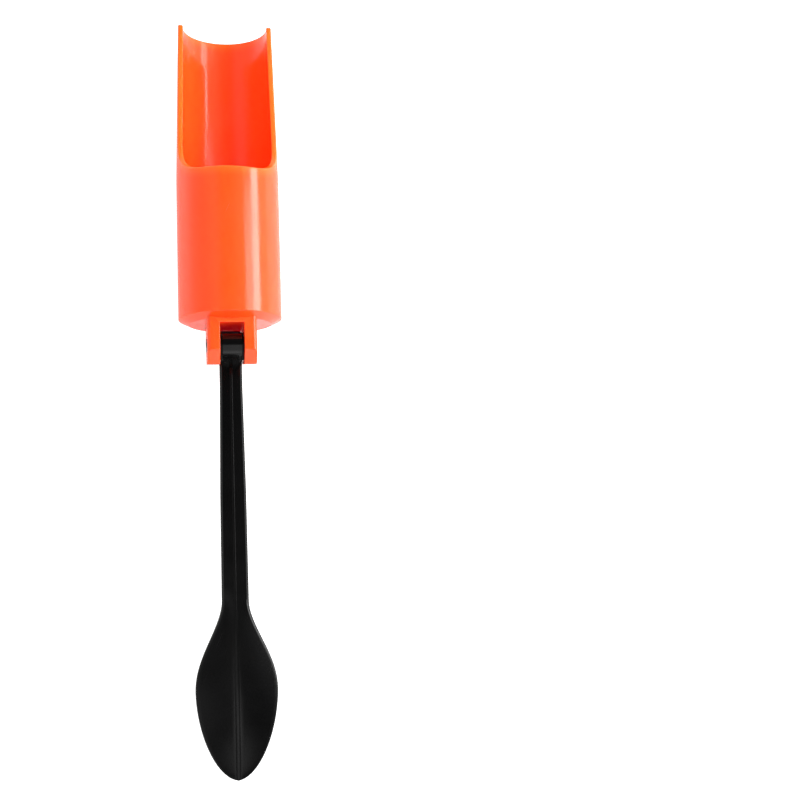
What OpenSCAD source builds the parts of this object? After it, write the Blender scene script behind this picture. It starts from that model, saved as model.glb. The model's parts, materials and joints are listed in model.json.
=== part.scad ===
// Two-ended hand tool: an open-sided scoop tube with a leaf-bladed handle
// that folds about a pivot screw in a clevis under the tube's closed end.
// Millimetres. +Z up, +Y toward the scoop mouth, X across the tool.
// Origin: on the surface it lies on, under the middle of its whole length.

/* [Scoop tube] */
// Outside diameter of the closed part of the tube
tube_d = 60; // [56:1:75]
// Length from the closed end to the mouth
tube_len = 182; // [150:1:220]
// Wall thickness of the tube
wall = 2.9; // [2.2:0.1:3.6]
// Outside diameter at the mouth
mouth_d = 55.4; // [48:0.2:60]
// Length of the open gutter, measured back from the mouth
open_len = 95; // [70:1:120]
// Height of the gutter rims over the tube's axis at the closed part
rim_rise = 7; // [2:0.1:10]
// Height of the gutter rims over the tube's axis at the mouth
rim_mouth = 3.4; // [0:0.1:8]
// Radius of the curve that ends the opening, seen from the side
open_round = 22; // [14:1:26]
// Thickness of the closed end
base_t = 3.2; // [2.4:0.1:5]
// Width of the bevel round the closed end, toward the axis
bevel_in = 6.2; // [4:0.1:7]
// Width of the same bevel along the tube
bevel_along = 3; // [2:0.1:3.4]

/* [Clevis] */
// Gap between the two ears
slot_w = 13.8; // [12:0.1:16]
// Thickness of each ear
ear_t = 7.2; // [6.4:0.1:9]
// Length of the ears below the closed end
ear_len = 25.5; // [25:0.1:30]
// Front faces of the ears, measured forward from the tube's axis
ear_front = 23; // [21.5:0.1:23.6]
// Back faces of the ears, measured back from the tube's axis
ear_back = 15.5; // [13:0.1:17]
// Thickness of the bridge that joins the ears
bridge_t = 2.4; // [1.8:0.1:3.2]

/* [Pivot] */
// Pivot axis forward of the tube's axis
pin_fwd = 15; // [14.6:0.1:16]
// Pivot axis below the closed end
pin_drop = 14.6; // [14.4:0.1:16]
// Shank diameter of the pivot screw
pin_d = 4; // [3:0.1:5]
// Head diameter of the pivot screw
head_d = 7; // [6.6:0.1:8]
// Clearance of the handle's bore on the shank, on the radius
run_fit = 0.06; // [0.02:0.01:0.1]

/* [Handle] */
// Pivot axis to the tip of the blade
reach = 245; // [210:1:270]
// Depth of the bar, front to back
bar_t = 9.4; // [8:0.1:12]
// Width of the bar where the blade starts
bar_w = 15.4; // [14:0.1:18]
// Front of the bar, measured back from the tube's axis
bar_set = 4; // [3.4:0.1:6.4]
// Length of the blade
blade_len = 100; // [85:1:115]
// Width of the blade
blade_w = 46.8; // [38:0.2:54]
// Thickness of the blade along its spine
spine_t = 7.4; // [6:0.1:9]
// Thickness of the blade at its edges
edge_t = 2.4; // [1.6:0.1:3.2]

/* [Hidden] */
$fn = 128;
orange = [1.0, 0.33, 0.08];
black = [0.07, 0.07, 0.075];
steel = [0.62, 0.63, 0.65];
tube_r = tube_d / 2;
mouth_r = min(mouth_d / 2, tube_r);
open_y = tube_len - open_len;
axis_z = tube_r;
pin_y = -pin_drop;
pin_z = axis_z + pin_fwd;
half_w = slot_w / 2 + ear_t;
ear_round = 2.4;
floor_corner = 2;
head_t = 2.4;
nut_af = 7;
nut_t = 3.6;
nut_out = 0.7;
bore_r = pin_d / 2 + run_fit;
cheek_gap = 0.2;
cheek_t = 1.25;
cheek_out = slot_w / 2 - cheek_gap;
cheek_in = cheek_out - cheek_t;
cheek_y = pin_y + 7;
barrel_r = 6.6;
heel_gap = 0.3;
heel_y = -bridge_t - heel_gap;
front_z = axis_z - bar_set;
back_z = front_z - bar_t;
root_w = slot_w - 0.7;
tip_y = pin_y - reach;
blade_y = tip_y + blade_len;
clear_y = -(ear_len + 11);
mid_y = (clear_y + blade_y) / 2;
mid_w = bar_w - 0.5;
bevel = 1.2;
blade_top = front_z;
blade_low = blade_top - spine_t;
steps = 26;
mid_length_y = (tube_len + tip_y) / 2;

// Puts a sub-part over the origin of the whole tool.
module placed() {
    translate([0, -mid_length_y, 0])
        children();
}

// A solid swept across the tool from a side view drawn in Y and Z.
module across(w) {
    translate([-w / 2, 0, 0])
        rotate([90, 0, 90])
            linear_extrude(height = w)
                children();
}

// A round rod across the tool, centred on the pivot axis.
module rod(r, x1, x2, sides = 96) {
    translate([x1, pin_y, pin_z])
        rotate([0, 90, 0])
            cylinder(r = r, h = x2 - x1, $fn = sides);
}

// Outer form of the tube: bevelled closed end, straight part, narrowing gutter.
module tube_outer() {
    translate([0, 0, axis_z])
        rotate([-90, 0, 0])
            rotate_extrude($fn = 180)
                polygon([
                    [0, 0],
                    [tube_r - bevel_in, 0],
                    [tube_r, bevel_along],
                    [tube_r, open_y],
                    [mouth_r, tube_len],
                    [0, tube_len]
                ]);
}

// Hollow of the tube, open at the mouth.
module tube_hollow() {
    translate([0, 0, axis_z])
        rotate([-90, 0, 0])
            rotate_extrude($fn = 180)
                polygon([
                    [0, base_t],
                    [tube_r - wall - floor_corner, base_t],
                    [tube_r - wall, base_t + floor_corner],
                    [tube_r - wall, open_y],
                    [mouth_r - wall, tube_len],
                    [mouth_r - wall, tube_len + 1],
                    [0, tube_len + 1]
                ]);
}

// Side view of the cut that opens the tube into a gutter.
module opening_side() {
    slope = (rim_rise - rim_mouth) / open_len;
    arc_y = open_y + open_round;
    arc_z = axis_z + rim_rise - slope * open_round;
    top_z = tube_d + 1;
    difference() {
        polygon([
            [open_y, top_z],
            [open_y, arc_z],
            [arc_y, arc_z],
            [tube_len + 1, axis_z + rim_mouth - slope],
            [tube_len + 1, top_z]
        ]);
        difference() {
            translate([open_y - 1, arc_z - 1])
                square([open_round + 1, open_round + 1]);
            translate([arc_y, arc_z + open_round])
                circle(r = open_round, $fn = 180);
        }
    }
}

// Clevis block seen along the tool: a rectangle with rounded outer edges.
module clevis_plan() {
    low = axis_z - ear_back;
    high = axis_z + ear_front;
    deep = high - low;
    translate([0, 2, low])
        rotate([90, 0, 0])
            linear_extrude(height = ear_len + 3) {
                translate([-half_w + ear_round, 0])
                    square([2 * (half_w - ear_round), deep]);
                translate([-half_w, ear_round])
                    square([2 * half_w, deep - 2 * ear_round]);
                for (x = [-1, 1])
                    for (y = [ear_round, deep - ear_round])
                        translate([x * (half_w - ear_round), y])
                            circle(r = ear_round, $fn = 48);
            }
}

// Clevis block seen from the side: bevelled front corner, rising underside.
module clevis_side() {
    low = axis_z - ear_back;
    high = axis_z + ear_front;
    polygon([
        [2, low],
        [2, high],
        [-ear_len + 7.4, high],
        [-ear_len, high - 7.6],
        [-ear_len + 0.4, high - 11],
        [-ear_len + 3.2, low + 8.4],
        [-ear_len + 6, low + 4],
        [-ear_len + 9, low]
    ]);
}

module scoop_tube() {
    color(orange)
        placed()
            difference() {
                union() {
                    tube_outer();
                    intersection() {
                        clevis_plan();
                        across(4 * half_w)
                            clevis_side();
                    }
                }
                tube_hollow();
                across(tube_d + 2)
                    opening_side();
                translate([-slot_w / 2, -ear_len - 2, axis_z - ear_back - 1])
                    cube([slot_w, ear_len + 2 - bridge_t, ear_front + ear_back + 2]);
                rod(bore_r, -half_w - 1, half_w + 1);
                rod(head_d / 2 + 0.1, half_w - head_t, half_w + 1);
                rod(nut_af / 2 / cos(30) + 0.12, -half_w - 1, -half_w + nut_t - nut_out, 6);
            }
}

// One length of the bar, with bevelled long edges, from y1 down to y2.
module bar_run(y1, y2, w1, w2) {
    translate([0, y1, 0])
        rotate([90, 0, 0])
            linear_extrude(height = y1 - y2, scale = [w2 / w1, 1], slices = 1, $fn = 8)
                polygon([
                    [-w1 / 2, back_z + bevel],
                    [-w1 / 2 + bevel, back_z],
                    [w1 / 2 - bevel, back_z],
                    [w1 / 2, back_z + bevel],
                    [w1 / 2, front_z - bevel],
                    [w1 / 2 - bevel, front_z],
                    [-w1 / 2 + bevel, front_z],
                    [-w1 / 2, front_z - bevel]
                ]);
}

// Half width of the leaf blade at a fraction of its length from the bar.
function leaf(t) = t < 0.5
    ? bar_w / 2 + (blade_w - bar_w) / 2 * (1 - cos(180 * pow(2 * t, 0.88))) / 2
    : blade_w / 2 * pow(max(0, 1 - pow(2 * t - 1, 1.8)), 1 / 1.8);

// Outline of the blade looking down on it.
module leaf_plan() {
    right = [for (i = [0 : steps]) [leaf(i / steps), blade_y - blade_len * i / steps]];
    left = [for (i = [steps - 1 : -1 : 0]) [-leaf(i / steps), blade_y - blade_len * i / steps]];
    polygon(concat([[-bar_w / 2, blade_y + 1], [bar_w / 2, blade_y + 1]], right, left));
}

// Blade: the leaf outline, a roof-shaped section and a thinning tip together.
module blade() {
    mid = (blade_top + blade_low) / 2;
    intersection() {
        translate([0, 0, blade_low - 1])
            linear_extrude(height = spine_t + 2)
                leaf_plan();
        translate([0, blade_y + 1, 0])
            rotate([90, 0, 0])
                linear_extrude(height = blade_len + 2)
                    polygon([
                        [-blade_w / 2, mid - edge_t / 2],
                        [0, blade_low],
                        [blade_w / 2, mid - edge_t / 2],
                        [blade_w / 2, mid + edge_t / 2],
                        [0, blade_top],
                        [-blade_w / 2, mid + edge_t / 2]
                    ]);
        across(blade_w + 2)
            polygon([
                [blade_y + 2, blade_top + 1],
                [blade_y + 2, blade_low - 1],
                [tip_y + 48, blade_low],
                [tip_y + 10, mid - edge_t / 2 - 0.6],
                [tip_y - 1, mid - edge_t / 2],
                [tip_y - 1, mid + edge_t / 2],
                [tip_y + 10, mid + edge_t / 2 + 0.6],
                [tip_y + 48, blade_top]
            ]);
    }
}

// Cheek outline: two thin flanges either side of the barrel.
module cheek_side() {
    polygon([
        [heel_y, back_z + bevel],
        [heel_y, front_z],
        [pin_y + 4.2, front_z + 5],
        [cheek_y, pin_z - 4],
        [cheek_y, pin_z + 3.2],
        [cheek_y - 2, pin_z + 4.2],
        [pin_y - 2.2, pin_z + 4.2],
        [pin_y - 8.9, pin_z + 1.2],
        [pin_y - 7.9, pin_z - 9.6],
        [pin_y - 7.9, back_z + bevel]
    ]);
}

// Web that carries the barrel on the bar, between the cheeks.
module web_side() {
    polygon([
        [pin_y + 4, front_z - 1],
        [pin_y + 4, pin_z],
        [pin_y - 5, pin_z],
        [pin_y - 7.2, pin_z - 8],
        [pin_y - 7.2, front_z - 1]
    ]);
}

// Cored-out back of the bar: one row of pockets between cross ribs.
module back_pockets() {
    count = 5;
    first = clear_y - 4;
    last = blade_y + 6;
    pitch = (first - last) / count;
    for (i = [0 : count - 1])
        translate([-(mid_w - 5.6) / 2, first - (i + 1) * pitch + 1.1, back_z - 1])
            cube([mid_w - 5.6, pitch - 2.2, bar_t - 3.2 + 1]);
}

module handle() {
    color(black)
        placed()
            difference() {
                union() {
                    bar_run(heel_y, clear_y, root_w, root_w);
                    bar_run(clear_y, mid_y, root_w, mid_w);
                    bar_run(mid_y, blade_y, mid_w, bar_w);
                    blade();
                    difference() {
                        across(2 * cheek_out)
                            cheek_side();
                        translate([-cheek_in, -60, front_z])
                            cube([2 * cheek_in, 60, 60]);
                    }
                    across(2 * cheek_in + 0.2)
                        web_side();
                    rod(barrel_r, -cheek_in - 0.1, cheek_in + 0.1);
                }
                rod(bore_r, -half_w, half_w);
                back_pockets();
            }
}

// Pan-head screw with a cross recess, from the right ear through to the nut.
module pivot_screw() {
    color(steel)
        placed()
            difference() {
                union() {
                    rod(pin_d / 2, -half_w + 0.2, half_w - head_t + 0.1);
                    rod(head_d / 2, half_w - head_t, half_w - 0.2);
                }
                for (a = [0, 90])
                    translate([half_w - 1.6, pin_y, pin_z])
                        rotate([a, 0, 0])
                            translate([0, -0.45, -1.7])
                                cube([2, 0.9, 3.4]);
            }
}

// Six-sided nut let into the left ear, standing a little proud of it.
module pivot_nut() {
    color(steel)
        placed()
            difference() {
                rod(nut_af / 2 / cos(30), -half_w - nut_out, -half_w + nut_t - nut_out - 0.1, 6);
                rod(pin_d / 2 + 0.02, -half_w - 2, -half_w + nut_t + 1);
            }
}

scoop_tube();
handle();
pivot_screw();
pivot_nut();
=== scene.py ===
import json
from math import acos, atan2, cos, pi, radians, sin

import bmesh
import bpy
import numpy as np
from mathutils import Matrix, Vector


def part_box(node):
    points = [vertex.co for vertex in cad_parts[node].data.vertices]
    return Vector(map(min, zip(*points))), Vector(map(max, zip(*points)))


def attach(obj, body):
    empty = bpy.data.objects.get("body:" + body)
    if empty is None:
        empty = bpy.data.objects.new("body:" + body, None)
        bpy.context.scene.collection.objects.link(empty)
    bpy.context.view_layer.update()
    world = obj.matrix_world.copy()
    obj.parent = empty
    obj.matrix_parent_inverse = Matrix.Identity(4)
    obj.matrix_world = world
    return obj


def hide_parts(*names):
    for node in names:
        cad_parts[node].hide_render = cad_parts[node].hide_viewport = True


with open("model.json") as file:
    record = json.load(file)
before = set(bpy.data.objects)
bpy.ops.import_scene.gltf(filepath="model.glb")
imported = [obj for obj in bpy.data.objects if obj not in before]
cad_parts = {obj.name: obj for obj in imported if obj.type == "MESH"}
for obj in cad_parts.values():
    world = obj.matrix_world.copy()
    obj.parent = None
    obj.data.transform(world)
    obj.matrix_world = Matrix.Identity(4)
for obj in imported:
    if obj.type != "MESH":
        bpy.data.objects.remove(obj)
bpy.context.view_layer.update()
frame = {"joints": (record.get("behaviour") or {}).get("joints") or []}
mm = 0.001


# ---------------------------------------------------------------- camera and studio
# A camera looks down on the tool from a little behind and to the left of its
# middle. The tool lies to the left of the frame, so the camera aims past it.
scene = bpy.context.scene
scene.view_settings.view_transform = "Standard"
scene.view_settings.look = "None"

camera_at = Vector((-0.03228, -0.10555, 0.78662))
camera_aim = Vector((0.09967, -0.00602, 0.025))
camera_lean = radians(51.522)

camera = bpy.data.objects.new("camera", bpy.data.cameras.new("camera"))
camera.data.lens = 58.84
camera.data.clip_start = 0.01
camera.data.clip_end = 50
camera.location = camera_at
camera.rotation_mode = "QUATERNION"
aim_turn = (camera_aim - camera_at).to_track_quat("-Z", "Y")
camera.rotation_quaternion = (aim_turn.to_matrix() @ Matrix.Rotation(camera_lean, 3, "Z")).to_quaternion()
scene.collection.objects.link(camera)
scene.camera = camera


def softbox(name, place, aim, across, tall, radiance, seen=True):
    """A rectangular softbox facing aim. One that isn't seen lights the tool but leaves no reflection."""
    lamp = bpy.data.lights.new(name, "AREA")
    lamp.shape = "RECTANGLE"
    lamp.size = across
    lamp.size_y = tall
    lamp.energy = radiance * pi * across * tall
    box = bpy.data.objects.new(name, lamp)
    box.location = place
    box.rotation_mode = "QUATERNION"
    box.rotation_quaternion = (Vector(aim) - Vector(place)).to_track_quat("-Z", "Y")
    box.visible_glossy = seen
    scene.collection.objects.link(box)
    return box


middle = Vector((0, 0.05, 0.03))
softbox("strip", (0.759, 0.18, 0.469), middle, 0.70, 0.24, 9)
softbox("strip_glow", (0.708, 0.08, 0.776), middle, 0.66, 0.36, 3.6)
softbox("window", (0.674, 1.01, 1.104), middle, 0.50, 0.22, 7.5)
softbox("key", (1.05, -0.05, 0.85), middle, 1.4, 0.8, 4.5, seen=False)

# The air round the tool gives soft light from all sides. In reflections it is a
# dark room with pale walls, a faint glow to each side and a narrow lamp overhead.
# The room leans with the camera for the tube, but stands level for the handle.
studio = bpy.data.worlds.new("studio")
scene.world = studio
studio.use_nodes = True
tree = studio.node_tree
tree.nodes.clear()
out = tree.nodes.new("ShaderNodeOutputWorld")
air = tree.nodes.new("ShaderNodeBackground")
way = tree.nodes.new("ShaderNodeTexCoord").outputs["Generated"]
lean = tree.nodes.new("ShaderNodeMapping")
lean.inputs["Rotation"].default_value = (0, radians(5.8), 0)
tree.links.new(way, lean.inputs["Vector"])
split = tree.nodes.new("ShaderNodeSeparateXYZ")
tree.links.new(lean.outputs["Vector"], split.inputs["Vector"])


def air_maths(kind, a, b):
    """One maths step of the room's light, on sockets or numbers."""
    step = tree.nodes.new("ShaderNodeMath")
    step.operation = kind
    for socket, value in zip(step.inputs, (a, b)):
        if isinstance(value, (int, float)):
            socket.default_value = value
        else:
            tree.links.new(value, socket)
    return step.outputs[0]


def soft_step(value, start, stop, low, high):
    """Goes smoothly from low to high as value goes from start to stop."""
    step = tree.nodes.new("ShaderNodeMapRange")
    step.interpolation_type = "SMOOTHSTEP"
    for label, number in (("From Min", start), ("From Max", stop), ("To Min", low), ("To Max", high)):
        step.inputs[label].default_value = number
    tree.links.new(value, step.inputs["Value"])
    return step.outputs["Result"]


horizon = soft_step(split.outputs["Z"], 0.10, 0.62, 1.0, 0.0)
side_light = soft_step(split.outputs["X"], -0.9, 0.7, 0.38, 0.95)
dark_air = 0.02
room = air_maths("ADD", dark_air, air_maths("MULTIPLY", horizon, side_light))
foot_side = soft_step(split.outputs["Y"], 0.01, -0.12, 0.0, 1.0)
level = tree.nodes.new("ShaderNodeSeparateXYZ")
tree.links.new(way, level.inputs["Vector"])
level_shift = 0.10
foot_x = air_maths("MULTIPLY", air_maths("SUBTRACT", level.outputs["X"], level_shift), foot_side)
tube_x = air_maths("MULTIPLY", split.outputs["X"], air_maths("SUBTRACT", 1.0, foot_side))
glow_x = air_maths("ADD", foot_x, tube_x)
left_glow = soft_step(glow_x, -0.12, -0.48, 0.0, 0.56)
right_glow = soft_step(glow_x, 0.14, 0.46, 0.0, 0.34)
room = air_maths("ADD", room, air_maths("ADD", left_glow, right_glow))
lamp_shift = 0.05
off_middle = air_maths("ABSOLUTE", air_maths("ADD", glow_x, lamp_shift), 0)
overhead = soft_step(off_middle, 0.03, 0.09, 1.5, 0.0)
room = air_maths("ADD", room, air_maths("MULTIPLY", overhead, foot_side))
mirror = tree.nodes.new("ShaderNodeLightPath").outputs["Is Glossy Ray"]
soft_air = 1.25
shown = air_maths("ADD", air_maths("MULTIPLY", room, mirror),
                  air_maths("MULTIPLY", air_maths("SUBTRACT", 1.0, mirror), soft_air))
tree.links.new(shown, air.inputs["Strength"])
tree.links.new(air.outputs["Background"], out.inputs["Surface"])


# ---------------------------------------------------------------- floor
# A pale matt studio floor, a wide sheet of opal acrylic lit from below. It is
# dimmer in reflections, so that glossy sides don't wash out. It is only a stage.
def shader(name):
    """A new material with only a Principled BSDF and an output, and helpers to wire it."""
    made = bpy.data.materials.new(name)
    made.use_nodes = True
    nodes = made.node_tree.nodes
    nodes.clear()
    end = nodes.new("ShaderNodeOutputMaterial")
    body = nodes.new("ShaderNodeBsdfPrincipled")
    made.node_tree.links.new(body.outputs["BSDF"], end.inputs["Surface"])
    return made, nodes, made.node_tree.links, body


opal, nodes, links, body = shader("opal_floor")
place = nodes.new("ShaderNodeTexCoord")
tooth = nodes.new("ShaderNodeTexNoise")
tooth.inputs["Scale"].default_value = 900
tooth.inputs["Detail"].default_value = 3
lift = nodes.new("ShaderNodeBump")
lift.inputs["Strength"].default_value = 0.05
lift.inputs["Distance"].default_value = 0.0002
links.new(place.outputs["Object"], tooth.inputs["Vector"])
links.new(tooth.outputs["Fac"], lift.inputs["Height"])
links.new(lift.outputs["Normal"], body.inputs["Normal"])
body.inputs["Base Color"].default_value = (0.5, 0.5, 0.5, 1)
body.inputs["Roughness"].default_value = 0.9
body.inputs["Specular IOR Level"].default_value = 0.1
body.inputs["Emission Color"].default_value = (1, 1, 1, 1)
lit_below = 0.95
lit_mirrored = 0.33
path = nodes.new("ShaderNodeLightPath")
dim = nodes.new("ShaderNodeMapRange")
dim.inputs["To Min"].default_value = lit_below
dim.inputs["To Max"].default_value = lit_mirrored
links.new(path.outputs["Is Glossy Ray"], dim.inputs["Value"])
links.new(dim.outputs["Result"], body.inputs["Emission Strength"])

bpy.ops.mesh.primitive_plane_add(size=12, location=(0, 0, 0))
floor = bpy.context.object
floor.name = "floor"
floor.data.materials.append(opal)


# ---------------------------------------------------------------- scoop shell
# The tube, its closed end and its gutter are one orange plastic moulding, a
# wall of even thickness with a soft lip all round the opening and the mouth,
# and a flat bevel round the closed end.
pivot = Vector(frame["joints"][0]["pos_m"])
tube_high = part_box("scoop_tube")[1]
tube_r = tube_high.x
mouth_y = tube_high.y
pin_drop = 14.6 * mm
end_y = pivot.y + pin_drop
wall = 2.9 * mm
taper = 2.3 * mm
mouth_r = tube_r - taper
open_len = 95 * mm
open_y = mouth_y - open_len
rim_rise = 7 * mm
rim_mouth = 3.4 * mm
open_round = 22 * mm
bevel_in = 6.2 * mm
bevel_along = 3 * mm
end_wall = 3.2 * mm
floor_y = end_y + end_wall
floor_round = 2 * mm
lip_round = 0.8 * mm
tip_round = 2.2 * mm
least_round = 0.6 * mm
near_lip = 6 * mm
lip_steps = (4.4 * mm, 3.2 * mm, 2.2 * mm, 1.5 * mm, lip_round)


def mix(a, b, t):
    return a + (b - a) * t


def ease(x):
    x = np.clip(x, 0, 1)
    return x * x * (3 - 2 * x)


def shell_radius(y, inset):
    """Radius of the tube at y, inset from its outside."""
    return tube_r - inset - (tube_r - mouth_r) * np.clip((y - open_y) / open_len, 0, 1)


def rim_height(y):
    """Height of the straight rims at y."""
    return tube_r + rim_mouth + (rim_rise - rim_mouth) * (mouth_y - y) / open_len


arc_end_y = open_y + open_round
arc_low_z = rim_height(arc_end_y)
arc_mid_z = arc_low_z + open_round


def shell_loop(offset, inset, counts=(10, 30, 34, 7, 36)):
    """Half of the opening's edge, moved into the wall by offset, as angle from the front and y."""
    front, bend, side, tip, mouth = counts
    r_ref = tube_r - inset
    # Opening's foot and its two rounded corners, from the side view's curve.
    first = acos((arc_mid_z - tube_r) / tube_r)
    angle = np.linspace(0, first, front, endpoint=False)
    z = tube_r + tube_r * np.cos(angle)
    y = np.full(front, open_y)
    turn = np.linspace(0, pi / 2, bend)
    y = np.concatenate([y, open_y + open_round * (1 - np.cos(turn))])
    z = np.concatenate([z, arc_mid_z - open_round * np.sin(turn)])
    outer = np.arccos(np.clip((z - tube_r) / shell_radius(y, 0), -1, 1))
    if inset > 0:
        level = ease((np.degrees(outer) - 25) / 35)
        inner_r = shell_radius(y, inset)
        z = mix(tube_r + inner_r * np.cos(outer), z, level)
        drop = np.clip(arc_mid_z - z, 0, open_round)
        y = arc_end_y - np.sqrt(open_round**2 - drop**2)
    a = r_ref * np.arccos(np.clip((z - tube_r) / shell_radius(y, inset), -1, 1))
    da, dy = np.gradient(a), np.gradient(y)
    da[0], dy[0] = 1, 0
    da[-1], dy[-1] = 0, 1
    size = np.hypot(da, dy)
    a, y = a + offset * dy / size, y - offset * da / size

    def rim(at):
        return r_ref * np.arccos((rim_height(at) - tube_r) / shell_radius(at, inset))

    corner = max(tip_round - offset, least_round)
    side_y = np.linspace(arc_end_y, mouth_y - offset - corner, side + 1)[1:]
    side_a = rim(side_y) + offset
    mid_a, mid_y = rim(mouth_y) + offset + corner, mouth_y - offset - corner
    turn = np.linspace(pi, pi / 2, tip + 2)[1:-1]
    tip_a, tip_y = mid_a + corner * np.cos(turn), mid_y + corner * np.sin(turn)
    mouth_a = np.linspace(mid_a, pi * r_ref, mouth)
    a = np.concatenate([a, side_a, tip_a, mouth_a])
    y = np.concatenate([y, side_y, tip_y, np.full(mouth, mouth_y - offset)])
    return a / r_ref, y


def whole_loop(angle, y):
    """The half loop and its mirror image, as one closed loop."""
    return np.concatenate([angle, -angle[-2:0:-1]]), np.concatenate([y, y[-2:0:-1]])


def on_shell(angle, y, inset):
    r = shell_radius(y, inset)
    return np.stack([r * np.sin(angle), y, tube_r + r * np.cos(angle)], 1)


def shell_normal(angle, y, way):
    """The wall's true normal, outward for way 1 and inward for way -1."""
    blend = 24 * mm
    tilt = np.arctan2(tube_r - mouth_r, open_len) * ease((y - open_y) / blend + 0.5)
    return way * np.stack([np.cos(tilt) * np.sin(angle), np.sin(tilt), np.cos(tilt) * np.cos(angle)], 1)


def bevelled_foot():
    """The closed end's outer corner as (in from the wall, up from the end, lean) with rounded edges."""
    slope = atan2(bevel_along, bevel_in)
    soft = 0.5 * mm
    path = []
    for t in np.linspace(0, 1, 5):
        path.append((bevel_in + soft * (1 - t) ** 2 - soft * cos(slope) * t**2,
                     soft * sin(slope) * t**2, slope * t))
    for t in np.linspace(0.12, 0.88, 7):
        path.append((bevel_in * (1 - t), bevel_along * t, slope))
    for t in np.linspace(0, 1, 5):
        path.append((soft * cos(slope) * (1 - t) ** 2,
                     bevel_along - soft * sin(slope) * (1 - t) ** 2 + soft * t**2,
                     mix(slope, pi / 2, t)))
    return path


def rounded_foot(foot_round):
    """The closed end's inner corner, a quarter circle, in the same form."""
    return [(foot_round * (1 - sin(t)), foot_round * (1 - cos(t)), t)
            for t in np.linspace(0, pi / 2, 9)[:-1]]


def shell_wall(inset, foot_y, corner):
    """Rings from the middle of the closed end out to the lip, and the true normals of the wall."""
    way = -1 if inset else 1
    half = len(shell_loop(0, inset)[0])
    # The foot's points are shared out so that no line to the lip crosses another.
    spread = np.interp(np.arange(half), (0, 10, 40, 73, 80, half - 1),
                       np.radians((0, 26, 104, 146, 152, 180)))
    foot_angle, foot = whole_loop(spread, np.full(half, foot_y + corner[-1][1] + 0.1 * mm))
    rings, normals = [], []
    r = tube_r - inset - corner[0][0]
    for share in (0.02, 0.15, 0.35, 0.55, 0.75, 0.92):
        spot = np.stack([share * r * np.sin(foot_angle), foot * 0 + foot_y,
                         tube_r + share * r * np.cos(foot_angle)], 1)
        rings.append(spot)
        normals.append(np.tile([0, -way, 0], (len(spot), 1)))
    for inward, along, turn in corner:
        reach = tube_r - inset - inward
        spot = np.stack([reach * np.sin(foot_angle), foot * 0 + foot_y + along,
                         tube_r + reach * np.cos(foot_angle)], 1)
        rings.append(spot)
        normals.append(way * np.stack([sin(turn) * np.sin(foot_angle), foot * 0 - cos(turn),
                                       sin(turn) * np.cos(foot_angle)], 1))
    near_angle, near_y = whole_loop(*shell_loop(near_lip, inset))
    for t in np.linspace(0, 1, 46):
        angle, y = mix(foot_angle, near_angle, t), mix(foot, near_y, t)
        rings.append(on_shell(angle, y, inset))
        normals.append(shell_normal(angle, y, way))
    for offset in lip_steps:
        angle, y = whole_loop(*shell_loop(offset, inset))
        rings.append(on_shell(angle, y, inset))
        normals.append(shell_normal(angle, y, way))
    return rings, normals


def mesh_object(name, points, faces, material):
    made = bpy.data.meshes.new(name)
    made.from_pydata([tuple(p) for p in points], [], faces)
    made.update()
    made.materials.append(material)
    piece = bpy.data.objects.new(name, made)
    scene.collection.objects.link(piece)
    return piece


def face_outward(piece):
    """Turns every face of a closed piece outward."""
    tidy = bmesh.new()
    tidy.from_mesh(piece.data)
    bmesh.ops.recalc_face_normals(tidy, faces=tidy.faces)
    tidy.to_mesh(piece.data)
    tidy.free()


def only_material(piece, material):
    """Leaves a piece with one material, whatever its cutters brought along."""
    piece.data.materials.clear()
    piece.data.materials.append(material)


def skin_rings(rings):
    """Quads between rings of equal count, with a flat cap at each end."""
    count = len(rings[0])
    faces = []
    for k in range(len(rings) - 1):
        for i in range(count):
            j = (i + 1) % count
            faces.append((k * count + i, k * count + j, (k + 1) * count + j, (k + 1) * count + i))
    faces.append(tuple(range(count - 1, -1, -1)))
    last = (len(rings) - 1) * count
    faces.append(tuple(last + i for i in range(count)))
    return np.concatenate(rings), faces


# Shader groups shared by every moulded and metal surface of the tool.
def effect(name, inputs, outputs):
    """A node group with named sockets: inputs as (name, default), outputs as (name, kind)."""
    group = bpy.data.node_groups.new(name, "ShaderNodeTree")
    for label, value in inputs:
        socket = group.interface.new_socket(label, in_out="INPUT", socket_type="NodeSocketFloat")
        socket.default_value = value
    for label, kind in outputs:
        group.interface.new_socket(label, in_out="OUTPUT", socket_type=kind)
    ins = group.nodes.new("NodeGroupInput")
    outs = group.nodes.new("NodeGroupOutput")
    return group, group.nodes, group.links, ins, outs


def maths(nodes, links, kind, a, b=None):
    """One maths step on two sockets or numbers."""
    step = nodes.new("ShaderNodeMath")
    step.operation = kind
    for slot, value in ((0, a), (1, b)):
        if value is None:
            continue
        if isinstance(value, (int, float)):
            step.inputs[slot].default_value = value
        else:
            links.new(value, step.inputs[slot])
    return step.outputs[0]


def noise(nodes, links, place, scale, detail=3, rough=0.5, stretch=None):
    """A noise over the piece's own coordinates, stretched along an axis if asked."""
    if stretch:
        pull = nodes.new("ShaderNodeMapping")
        pull.inputs["Scale"].default_value = stretch
        links.new(place, pull.inputs["Vector"])
        place = pull.outputs["Vector"]
    made = nodes.new("ShaderNodeTexNoise")
    made.inputs["Detail"].default_value = detail
    made.inputs["Roughness"].default_value = rough
    if isinstance(scale, (int, float)):
        made.inputs["Scale"].default_value = scale
    else:
        links.new(scale, made.inputs["Scale"])
    links.new(place, made.inputs["Vector"])
    return made.outputs["Fac"]


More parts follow.
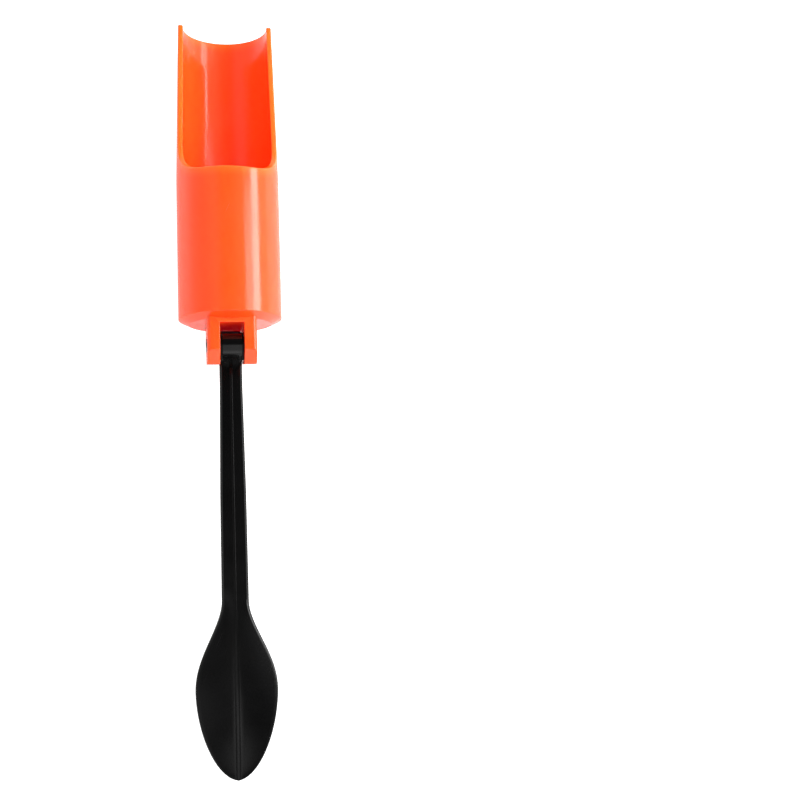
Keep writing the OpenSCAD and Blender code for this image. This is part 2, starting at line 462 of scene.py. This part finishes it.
# Moulded skin: fine pebble from the mould's steel, slow flow marks in the colour.
skin, nodes, links, ins, outs = effect(
    "moulded_skin",
    [("Pebble Scale", 1400), ("Flow Scale", 16)],
    [("Height", "NodeSocketFloat"), ("Flow", "NodeSocketFloat"), ("Cloud", "NodeSocketFloat")])
place = nodes.new("ShaderNodeTexCoord").outputs["Object"]
pebble = noise(nodes, links, place, ins.outputs["Pebble Scale"], 2)
swell = noise(nodes, links, place, 140, 2)
height = maths(nodes, links, "ADD", maths(nodes, links, "MULTIPLY", pebble, 0.35),
               maths(nodes, links, "MULTIPLY", swell, 0.65))
links.new(height, outs.inputs["Height"])
flow = noise(nodes, links, place, ins.outputs["Flow Scale"], 4, 0.6, (2.2, 0.35, 2.2))
links.new(flow, outs.inputs["Flow"])
links.new(noise(nodes, links, place, 45, 4, 0.55), outs.inputs["Cloud"])

# Handling marks: sparse hairline scratches and rubbed corners.
marks, nodes, links, ins, outs = effect(
    "handling_marks",
    [("Scratch Scale", 60), ("Scratch Amount", 0.5)],
    [("Scratches", "NodeSocketFloat"), ("Corners", "NodeSocketFloat")])
place = nodes.new("ShaderNodeTexCoord").outputs["Object"]
patch = noise(nodes, links, place, 26, 2)
lines = []
for lean, share in ((24, 0.80), (-41, 0.81), (73, 0.82)):
    turn = nodes.new("ShaderNodeMapping")
    turn.inputs["Rotation"].default_value = (0, 0, radians(lean))
    links.new(place, turn.inputs["Vector"])
    line = noise(nodes, links, turn.outputs["Vector"], ins.outputs["Scratch Scale"], 1, 0.5, (26, 0.4, 0.4))
    cut = nodes.new("ShaderNodeMapRange")
    cut.inputs["From Min"].default_value = share - 0.07
    cut.inputs["From Max"].default_value = share
    links.new(line, cut.inputs["Value"])
    lines.append(cut.outputs["Result"])
hair = maths(nodes, links, "MAXIMUM", maths(nodes, links, "MAXIMUM", lines[0], lines[1]), lines[2])
rare = maths(nodes, links, "GREATER_THAN", patch, 0.5)
links.new(maths(nodes, links, "MULTIPLY", maths(nodes, links, "MULTIPLY", hair, rare),
                ins.outputs["Scratch Amount"]), outs.inputs["Scratches"])
shape = nodes.new("ShaderNodeNewGeometry").outputs["Pointiness"]
ridge = nodes.new("ShaderNodeMapRange")
ridge.inputs["From Min"].default_value = 0.52
ridge.inputs["From Max"].default_value = 0.60
links.new(shape, ridge.inputs["Value"])
broken = maths(nodes, links, "MULTIPLY", ridge.outputs["Result"], noise(nodes, links, place, 220, 3))
links.new(broken, outs.inputs["Corners"])


def place_group(nodes, group, **values):
    made = nodes.new("ShaderNodeGroup")
    made.node_tree = group
    for label, value in values.items():
        made.inputs[label.replace("_", " ")].default_value = value
    return made


def blend_colour(nodes, links, share, first, second):
    """Mixes two colours, each a tuple or a socket, by a socket."""
    made = nodes.new("ShaderNodeMix")
    made.data_type = "RGBA"
    links.new(share, made.inputs["Factor"])
    for label, value in (("A", first), ("B", second)):
        socket = [s for s in made.inputs if s.name == label and s.type == "RGBA"][0]
        if isinstance(value, tuple):
            socket.default_value = (*value, 1)
        else:
            links.new(value, socket)
    return [s for s in made.outputs if s.type == "RGBA"][0]


def plastic(name, deep, light, rubbed, rough_low, rough_high, bump, pebble, scratches, painted_edge_glow=None):
    """A moulded plastic: two close tones, rubbed corners, a fine pebble and hairline scratches, and a
    painted glow in a lighter tone on thin edges where one is given.
    """
    made, nodes, links, body = shader(name)
    face = place_group(nodes, skin, Pebble_Scale=pebble)
    wear = place_group(nodes, marks, Scratch_Amount=scratches)
    tone = blend_colour(nodes, links, face.outputs["Flow"], deep, light)
    # Painted glow: thin edges marked by the rim attribute are lightened toward a yellower tone, standing in
    # for light through the plastic.
    if painted_edge_glow:
        edge = nodes.new("ShaderNodeAttribute")
        edge.attribute_name = "rim"
        tone = blend_colour(nodes, links, edge.outputs["Fac"], tone, painted_edge_glow)
    worn = maths(nodes, links, "MULTIPLY", wear.outputs["Corners"], 0.5)
    tone = blend_colour(nodes, links, worn, tone, rubbed)
    scored = maths(nodes, links, "MULTIPLY", wear.outputs["Scratches"], 0.12)
    tone = blend_colour(nodes, links, scored, tone, rubbed)
    links.new(tone, body.inputs["Base Color"])
    gloss = nodes.new("ShaderNodeMapRange")
    gloss.inputs["From Min"].default_value = 0.3
    gloss.inputs["From Max"].default_value = 0.7
    gloss.inputs["To Min"].default_value = rough_low
    gloss.inputs["To Max"].default_value = rough_high
    links.new(face.outputs["Cloud"], gloss.inputs["Value"])
    links.new(maths(nodes, links, "ADD", gloss.outputs["Result"],
                    maths(nodes, links, "MULTIPLY", wear.outputs["Scratches"], 0.25)),
              body.inputs["Roughness"])
    relief = nodes.new("ShaderNodeBump")
    relief.inputs["Strength"].default_value = bump
    relief.inputs["Distance"].default_value = 0.00012
    links.new(maths(nodes, links, "SUBTRACT", face.outputs["Height"],
                    maths(nodes, links, "MULTIPLY", wear.outputs["Scratches"], 0.6)),
              relief.inputs["Height"])
    links.new(relief.outputs["Normal"], body.inputs["Normal"])
    return made, body


# The lighter, yellower tone along the lip is painted glow, standing in for light through the thin plastic.
orange, body = plastic("orange_moulding", deep=(0.93, 0.061, 0.0060), light=(0.96, 0.076, 0.0090),
                       rubbed=(0.98, 0.14, 0.030), rough_low=0.13, rough_high=0.21, bump=0.08,
                       pebble=1400, scratches=0.35, painted_edge_glow=(1.0, 0.125, 0.012))
body.inputs["Specular IOR Level"].default_value = 0.5
body.inputs["Subsurface Weight"].default_value = 0.35
body.inputs["Subsurface Radius"].default_value = (1.0, 0.12, 0.04)
body.inputs["Subsurface Scale"].default_value = 5 * mm
# Painted glow: the slot's inner face emits a deep red, standing in for light come through the end wall.
nodes, links = orange.node_tree.nodes, orange.node_tree.links
lit = nodes.new("ShaderNodeAttribute")
lit.attribute_name = "slot_end_glow"
glow = blend_colour(nodes, links, lit.outputs["Fac"], (0.0, 0.0, 0.0), (0.20, 0.0, 0.002))
links.new(glow, body.inputs["Emission Color"])
body.inputs["Emission Strength"].default_value = 1.0

outer_rings, outer_normals = shell_wall(0, end_y, bevelled_foot())
inner_rings, inner_normals = shell_wall(wall, floor_y, rounded_foot(floor_round))
outer_edge = on_shell(*whole_loop(*shell_loop(0, 0)), 0)
inner_edge = on_shell(*whole_loop(*shell_loop(0, wall)), wall)
across = inner_edge - outer_edge
across /= np.linalg.norm(across, axis=1, keepdims=True)


def rounded(start, corner, stop, steps=5):
    """Rings round a corner, from start to stop."""
    made = []
    for t in np.linspace(0, 1, steps + 2)[1:]:
        made.append(mix(mix(start, corner, t), mix(corner, stop, t), t))
    return made


lip_rings = rounded(outer_rings[-1], outer_edge, outer_edge + lip_round * across)
lip_rings += rounded(inner_edge - lip_round * across, inner_edge, inner_rings[-1])[:-1]
lip_rings.insert(6, inner_edge - lip_round * across)
rings = outer_rings + lip_rings + inner_rings[::-1]
points, faces = skin_rings(rings)
scoop = mesh_object("scoop_shell", points, faces, orange)
scoop.data.polygons.foreach_set("use_smooth", [True] * len(scoop.data.polygons))
true = np.zeros(len(points) * 3, np.float32)
scoop.data.vertices.foreach_get("normal", true)
true = true.reshape(-1, 3)
count = len(rings[0])
true[: len(outer_normals) * count] = np.concatenate(outer_normals)
true[-len(inner_normals) * count:] = np.concatenate(inner_normals[::-1])
scoop.data.normals_split_custom_set_from_vertices([tuple(v) for v in true])
# Painted glow on the lip: the rim attribute is 1 over the lip and fades over the rings just inside and
# outside it.
share = [np.zeros(len(ring)) for ring in rings]
glow_depth = 4.6 * mm
for at, reach in enumerate(lip_steps):
    glow = 0.15 + 0.85 * (1 - reach / glow_depth)
    share[len(outer_rings) - 5 + at][:] = glow * 0.8
    share[-(len(inner_rings) - 4 + at)][:] = glow * 0.8
for at in range(len(outer_rings), len(rings) - len(inner_rings)):
    share[at][:] = 1
rim = scoop.data.attributes.new("rim", "FLOAT", "POINT")
rim.data.foreach_set("value", np.concatenate(share).astype(np.float32))
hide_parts("scoop_tube")
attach(scoop, "scoop")


# ---------------------------------------------------------------- clevis
# A block moulded with the tube under its closed end: a bridge and two ears,
# with a slot for the handle, a sunk seat for the screw head and one for the nut.
half_w = 14.1 * mm
slot_half = 6.9 * mm
ear_len = 25.5 * mm
ear_low = tube_r - 15.5 * mm
ear_high = tube_r + 23 * mm
bridge_y = end_y - 2.4 * mm
ear_round = 2.4 * mm
bore_r = 2.06 * mm
head_seat_r = 3.6 * mm
head_seat_depth = 2.4 * mm
nut_seat_r = 4.16 * mm
nut_seat_depth = 2.9 * mm


def prism(name, outline, axis, low, high):
    """A closed prism of an outline of (u, v) points, extruded along axis X or Y from low to high."""
    count = len(outline)
    if axis == "X":
        points = [(x, u, v) for x in (low, high) for u, v in outline]
    else:
        points = [(u, y, v) for y in (low, high) for u, v in outline]
    faces = [tuple(range(count)), tuple(range(2 * count - 1, count - 1, -1))]
    faces += [(i, count + i, count + (i + 1) % count, (i + 1) % count) for i in range(count)]
    piece = mesh_object(name, points, faces, orange)
    face_outward(piece)
    return piece


def rod(name, x_low, x_high, radius, sides=64, turn=0.0):
    """A rod across the tool on the pivot axis."""
    ring = [(pivot.y + radius * cos(turn + 2 * pi * i / sides),
             pivot.z + radius * sin(turn + 2 * pi * i / sides)) for i in range(sides)]
    return prism(name, ring, "X", x_low, x_high)


def rounded_box(low_u, high_u, low_v, high_v, radius, steps=8):
    """Outline of a box with rounded corners."""
    points = []
    for u, v, start in ((high_u - radius, high_v - radius, 0), (low_u + radius, high_v - radius, 90),
                        (low_u + radius, low_v + radius, 180), (high_u - radius, low_v + radius, 270)):
        for i in range(steps + 1):
            turn = radians(start + 90 * i / steps)
            points.append((u + radius * cos(turn), v + radius * sin(turn)))
    return points


def settle(piece):
    """Turns a piece's modifiers into its mesh."""
    bpy.context.view_layer.update()
    seen = piece.evaluated_get(bpy.context.evaluated_depsgraph_get())
    made = bpy.data.meshes.new_from_object(seen)
    piece.modifiers.clear()
    piece.data = made


def combine(piece, tool, kind):
    """Cuts, joins or intersects piece with tool, which is used up."""
    step = piece.modifiers.new(kind, "BOOLEAN")
    step.operation = kind
    step.object = tool
    step.solver = "EXACT"
    settle(piece)
    bpy.data.objects.remove(tool)


def soften(piece, width, segments=3, angle=32):
    """Rounds a piece's sharp edges, and shades it smooth across them."""
    step = piece.modifiers.new("edges", "BEVEL")
    step.width = width
    step.segments = segments
    step.limit_method = "ANGLE"
    step.angle_limit = radians(angle)
    step.harden_normals = False
    settle(piece)
    piece.data.polygons.foreach_set("use_smooth", [True] * len(piece.data.polygons))
    weigh = piece.modifiers.new("shade", "WEIGHTED_NORMAL")
    weigh.keep_sharp = True
    settle(piece)


side = [
    (end_y + 1.5 * mm, ear_low), (end_y + 1.5 * mm, ear_high),
    (end_y - ear_len + 7.4 * mm, ear_high), (end_y - ear_len, ear_high - 7.6 * mm),
    (end_y - ear_len + 0.4 * mm, ear_high - 11 * mm), (end_y - ear_len + 3.2 * mm, ear_low + 8.4 * mm),
    (end_y - ear_len + 6 * mm, ear_low + 4 * mm), (end_y - ear_len + 9 * mm, ear_low)]
clevis = prism("clevis", side, "X", -half_w, half_w)
combine(clevis, prism("plan", rounded_box(-half_w, half_w, ear_low, ear_high, ear_round), "Y",
                      end_y - ear_len - 2 * mm, end_y + 3 * mm), "INTERSECT")
past_ears = end_y - ear_len - 3 * mm
slot = [(past_ears, 0), (bridge_y, 0), (bridge_y, 2 * tube_r), (past_ears, 2 * tube_r)]
combine(clevis, prism("slot", slot, "X", -slot_half, slot_half), "DIFFERENCE")
combine(clevis, rod("bore", -half_w - mm, half_w + mm, bore_r), "DIFFERENCE")
combine(clevis, rod("head_seat", half_w - head_seat_depth, half_w + mm, head_seat_r), "DIFFERENCE")
combine(clevis, rod("nut_seat", -half_w - mm, -half_w + nut_seat_depth, nut_seat_r, 6), "DIFFERENCE")
soften(clevis, 0.45 * mm)
# Painted glow mask: the slot's end face between the ears, which the orange material lights deep red.
slot_end_glow = clevis.data.attributes.new("slot_end_glow", "FLOAT", "FACE")
for face in clevis.data.polygons:
    inside = abs(face.center.x) < slot_half - 0.1 * mm and abs(face.center.y - bridge_y) < 0.2 * mm
    slot_end_glow.data[face.index].value = float(inside)
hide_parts("scoop_tube")
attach(clevis, "scoop")


# ---------------------------------------------------------------- handle and blade
# One black plastic moulding: a bar with bevelled edges and a soft centre ridge
# that runs on as the spine of a leaf-shaped blade with slightly dished halves.
handle_low, handle_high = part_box("handle")
tip_y = handle_low.y
heel_y = handle_high.y
bar_set = 4 * mm
bar_t = 9.4 * mm
front_z = tube_r - bar_set
back_z = front_z - bar_t
blade_len = 100 * mm
blade_y = tip_y + blade_len
blade_w = handle_high.x
bar_half = 7.7 * mm
root_half = 6.55 * mm
bevel = 1.2 * mm
spine_t = 7.4 * mm
edge_t = 2.4 * mm
blade_mid = front_z - spine_t / 2
clear_y = end_y - 36.5 * mm

black, body = plastic("black_moulding", deep=(0.0010, 0.0010, 0.0011), light=(0.0017, 0.0017, 0.0017),
                      rubbed=(0.005, 0.005, 0.005), rough_low=0.16, rough_high=0.22, bump=0.12,
                      pebble=1900, scratches=0.45)
body.inputs["Specular IOR Level"].default_value = 0.38


def half_width(y):
    """Half the handle's width at y: a slowly widening bar, then the leaf."""
    if y > blade_y:
        along = [blade_y, (clear_y + blade_y) / 2, clear_y]
        return float(np.interp(y, along, [bar_half, bar_half - 0.25 * mm, root_half]))
    t = (blade_y - y) / blade_len
    if t < 0.5:
        return bar_half + (blade_w - bar_half) * (1 - cos(pi * (2 * t) ** 0.88)) / 2
    return blade_w * max(0.0, 1 - (2 * t - 1) ** 1.8) ** (1 / 1.8)


def handle_section(y):
    """The section at y: front face with its ridge, right edge, back face, left edge."""
    w = max(half_width(y), 0.4 * mm)
    leaf = float(ease((blade_y + 8 * mm - y) / (46 * mm)))
    thin = float(ease((tip_y + 52 * mm - y) / (50 * mm)))
    spread = float(ease((blade_y + 3 * mm - y) / (50 * mm)))
    high_spine = mix(front_z, blade_mid + spine_t / 2 - 0.2 * mm, leaf)
    high_spine = mix(high_spine, blade_mid + 1.6 * mm, thin)
    low_spine = mix(back_z, blade_mid - spine_t / 2 + 0.3 * mm, leaf)
    low_spine = mix(low_spine, blade_mid - 1.6 * mm, thin)
    high_edge = mix(front_z - 0.22 * mm, blade_mid + edge_t / 2, leaf)
    low_edge = mix(back_z, blade_mid - edge_t / 2, leaf)
    cut = min(mix(bevel, 0.8 * mm, leaf), 0.45 * w)
    top_half = min(mix(0.5 * mm, 1.4 * mm, spread), 0.42 * (w - cut))
    foot = min(0.55 * mm, 0.3 * top_half + 0.1 * mm)
    rise = mix(0.12 * mm, 0.06 * mm, spread)
    run = w - cut - top_half - foot
    near = [0, 0.5 * top_half, 0.85 * top_half, top_half, top_half + 0.33 * foot, top_half + 0.66 * foot,
            top_half + foot]
    near += [top_half + foot + run * (k / 11) for k in range(1, 12)]
    near = np.array(near)
    step = ease((near - 0.9 * top_half) / (foot + 0.1 * top_half))
    out = np.clip((near - top_half - foot) / run, 0, 1)
    crown = 0.06 * mm * (near / top_half).clip(0, 1) ** 2
    top = high_spine - crown - (rise - crown) * step
    top = top - (high_spine - rise - high_edge) * (0.62 * out + 0.38 * out**2.4)
    low = mix(low_spine, low_edge, mix(0.0, out**0.8, leaf))
    inward = range(len(near) - 1, 0, -1)
    outward = range(len(near))
    front = [(-near[i], top[i]) for i in inward] + [(near[i], top[i]) for i in outward]
    back = [(near[i], low[i]) for i in inward] + [(-near[i], low[i]) for i in outward]
    right = []
    for t in (0.35, 0.7, 1.0):
        right.append((w - cut + cut * t, top[-1] - cut * t * mix(1.0, t, leaf)))
    for t in (1.0, 0.7, 0.35):
        right.append((w - cut + cut * t, low[-1] + cut * t * mix(1.0, t, leaf)))
    left = [(-px, pz) for px, pz in right[::-1]]
    return front + right + back + left


stations = list(np.linspace(heel_y - 0.6 * mm, blade_y + 8 * mm, 74))
stations += list(np.linspace(blade_y + 8 * mm, tip_y + blade_len / 2, 46)[1:])
stations += [tip_y + blade_len / 2 * (1 - sin(pi / 2 * t)) for t in np.linspace(0, 1, 52)[1:-1]]
stations.append(tip_y + 0.02 * mm)
rings = []
first = handle_section(heel_y - 0.6 * mm)
middle_z = (front_z + back_z) / 2
rings.append(np.array([(x * 0.9, heel_y, middle_z + (z - middle_z) * 0.88) for x, z in first]))
for y in stations:
    rings.append(np.array([(x, y, z) for x, z in handle_section(y)]))
points, faces = skin_rings(rings)
handle = mesh_object("handle_bar_and_blade", points, faces, black)
face_outward(handle)

# The bar's back is cored out between cross ribs, as a thick moulding has to be.
pocket_count = 5
pocket_first = clear_y - 4 * mm
pocket_pitch = (pocket_first - blade_y - 6 * mm) / pocket_count
pocket_half = 4.65 * mm
rib_t = 2.2 * mm
front_wall = 3.2 * mm
for i in range(pocket_count):
    high = pocket_first - i * pocket_pitch - rib_t / 2
    low = high - pocket_pitch + rib_t
    plan = rounded_box(-pocket_half, pocket_half, low, high, 1.2 * mm)
    points = [(x, y, z) for z in (back_z - mm, front_z - front_wall) for x, y in plan]
    count = len(plan)
    faces = [tuple(range(count)), tuple(range(2 * count - 1, count - 1, -1))]
    faces += [(k, count + k, count + (k + 1) % count, (k + 1) % count) for k in range(count)]
    pocket = mesh_object("pocket", points, faces, black)
    face_outward(pocket)
    combine(handle, pocket, "DIFFERENCE")
handle.data.polygons.foreach_set("use_smooth", [True] * len(handle.data.polygons))
handle.data.set_sharp_from_angle(angle=radians(40))
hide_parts("handle")
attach(handle, "handle")


# ---------------------------------------------------------------- hinge head
# Moulded with the bar: two thin cheeks that rub on the ears, a barrel round
# the screw between them, and a web that joins both to the bar.
cheek_out = slot_half - 0.2 * mm
cheek_in = cheek_out - 1.25 * mm
web_half = cheek_in + 0.1 * mm
barrel_r = 6.6 * mm
y0 = pivot.y
z0 = pivot.z
cheek_outline = [
    (heel_y - 0.5 * mm, back_z + 2 * mm), (heel_y - 0.5 * mm, front_z - 0.6 * mm),
    (y0 + 4.2 * mm, front_z + 5 * mm), (y0 + 7 * mm, z0 - 4 * mm), (y0 + 7 * mm, z0 + 3.2 * mm),
    (y0 + 5 * mm, z0 + 4.2 * mm), (y0 - 2.2 * mm, z0 + 4.2 * mm), (y0 - 8.9 * mm, z0 + 1.2 * mm),
    (y0 - 7.9 * mm, z0 - 9.6 * mm), (y0 - 7.9 * mm, back_z + 2 * mm)]
web_outline = [
    (y0 + 4 * mm, front_z - mm), (y0 + 4 * mm, z0), (y0 - 5 * mm, z0),
    (y0 - 7.2 * mm, z0 - 8 * mm), (y0 - 7.2 * mm, front_z - mm)]
for side_name, inner, outer in (("left", -cheek_in, -cheek_out), ("right", cheek_in, cheek_out)):
    cheek = prism("hinge_cheek_" + side_name, cheek_outline, "X", min(inner, outer), max(inner, outer))
    combine(cheek, rod("bore", -half_w, half_w, bore_r), "DIFFERENCE")
    soften(cheek, 0.3 * mm, 2)
    only_material(cheek, black)
    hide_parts("handle")
    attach(cheek, "handle")
barrel = rod("hinge_barrel", -web_half, web_half, barrel_r, 90)
combine(barrel, prism("web", web_outline, "X", -web_half, web_half), "UNION")
combine(barrel, rod("bore", -half_w, half_w, bore_r), "DIFFERENCE")
soften(barrel, 0.25 * mm, 2)
only_material(barrel, black)
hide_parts("handle")
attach(barrel, "handle")


# ---------------------------------------------------------------- pivot screw
# A plated steel M4 pan-head screw with a cross recess, sunk in the right ear.
def plated(name, tone, dull):
    """Plated steel: turned rings round the pivot axis, dull patches and hairline scratches."""
    made, nodes, links, body = shader(name)
    place = nodes.new("ShaderNodeTexCoord").outputs["Object"]
    wear = place_group(nodes, marks, Scratch_Scale=400, Scratch_Amount=0.8)
    move = nodes.new("ShaderNodeMapping")
    move.inputs["Location"].default_value = (0, -pivot.y, -pivot.z)
    links.new(place, move.inputs["Vector"])
    rings_of = nodes.new("ShaderNodeTexWave")
    rings_of.wave_type = "RINGS"
    rings_of.rings_direction = "X"
    rings_of.inputs["Scale"].default_value = 900
    rings_of.inputs["Distortion"].default_value = 1.5
    links.new(move.outputs["Vector"], rings_of.inputs["Vector"])
    stain = noise(nodes, links, place, 500, 4)
    links.new(blend_colour(nodes, links, stain, tone, dull), body.inputs["Base Color"])
    scored = maths(nodes, links, "MULTIPLY", wear.outputs["Scratches"], 0.2)
    links.new(maths(nodes, links, "ADD", maths(nodes, links, "MULTIPLY", stain, 0.25),
                    maths(nodes, links, "ADD", scored, 0.2)),
              body.inputs["Roughness"])
    relief = nodes.new("ShaderNodeBump")
    relief.inputs["Strength"].default_value = 0.15
    relief.inputs["Distance"].default_value = 0.00003
    links.new(rings_of.outputs["Fac"], relief.inputs["Height"])
    links.new(relief.outputs["Normal"], body.inputs["Normal"])
    body.inputs["Metallic"].default_value = 1.0
    return made


screw_steel = plated("screw_steel", (0.50, 0.47, 0.43), (0.33, 0.31, 0.29))
nut_steel = plated("nut_steel", (0.52, 0.52, 0.52), (0.30, 0.30, 0.31))


def turned(name, profile, material, sides=64):
    """A turned piece on the pivot axis, from (x, radius) points."""
    rings = []
    for x, r in profile:
        rings.append(np.array([(x, y0 + r * cos(2 * pi * i / sides), z0 + r * sin(2 * pi * i / sides))
                               for i in range(sides)]))
    points, faces = skin_rings(rings)
    piece = mesh_object(name, points, faces, material)
    face_outward(piece)
    return piece


head_x = half_w - 2.35 * mm
top_x = half_w - 0.2 * mm
head_r = 3.5 * mm
shank_r = 2 * mm
recess_depth = 1.3 * mm
profile = [(-half_w + 0.2 * mm, shank_r - 0.4 * mm), (-half_w + 0.7 * mm, shank_r), (head_x, shank_r),
           (head_x, head_r - 0.2 * mm), (head_x + 0.2 * mm, head_r)]
profile += [(mix(head_x + 0.9 * mm, top_x, sin(t)), head_r - 1.6 * mm * (1 - cos(t)))
            for t in np.linspace(0, pi / 2, 8)]
profile.append((top_x, 0.3 * mm))
screw = turned("hinge_screw", profile, screw_steel)
for long_y, long_z in ((1.75 * mm, 0.45 * mm), (0.45 * mm, 1.75 * mm)):
    arm = [(y0 - long_y, z0 - long_z), (y0 + long_y, z0 - long_z),
           (y0 + long_y, z0 + long_z), (y0 - long_y, z0 + long_z)]
    combine(screw, prism("recess", arm, "X", top_x - recess_depth, top_x + mm), "DIFFERENCE")
screw.data.polygons.foreach_set("use_smooth", [True] * len(screw.data.polygons))
screw.data.set_sharp_from_angle(angle=radians(35))
only_material(screw, screw_steel)
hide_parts("pivot_screw")
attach(screw, "scoop")


# ---------------------------------------------------------------- pivot nut
# A plated hexagon nut pressed into the left ear, its face just proud of it.
nut_out = -half_w - 0.7 * mm
nut_in = -half_w + 2.8 * mm
nut_across = 7 * mm
thread_r = 2.03 * mm
nut = rod("hinge_nut", nut_out, nut_in, nut_across / 2 / cos(pi / 6), 6)
bevel_cone = turned("nut_turning", [(nut_out - 0.01 * mm, 3.3 * mm), (nut_out + 0.5 * mm, 4.2 * mm),
                                    (nut_in + mm, 4.2 * mm)], nut_steel)
combine(nut, bevel_cone, "INTERSECT")
thread = turned("nut_bore", [(nut_out - mm, 2.5 * mm), (nut_out + 0.45 * mm, thread_r),
                             (nut_in + mm, thread_r)], nut_steel)
combine(nut, thread, "DIFFERENCE")
soften(nut, 0.08 * mm, 2, 25)
only_material(nut, nut_steel)
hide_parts("pivot_nut")
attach(nut, "scoop")
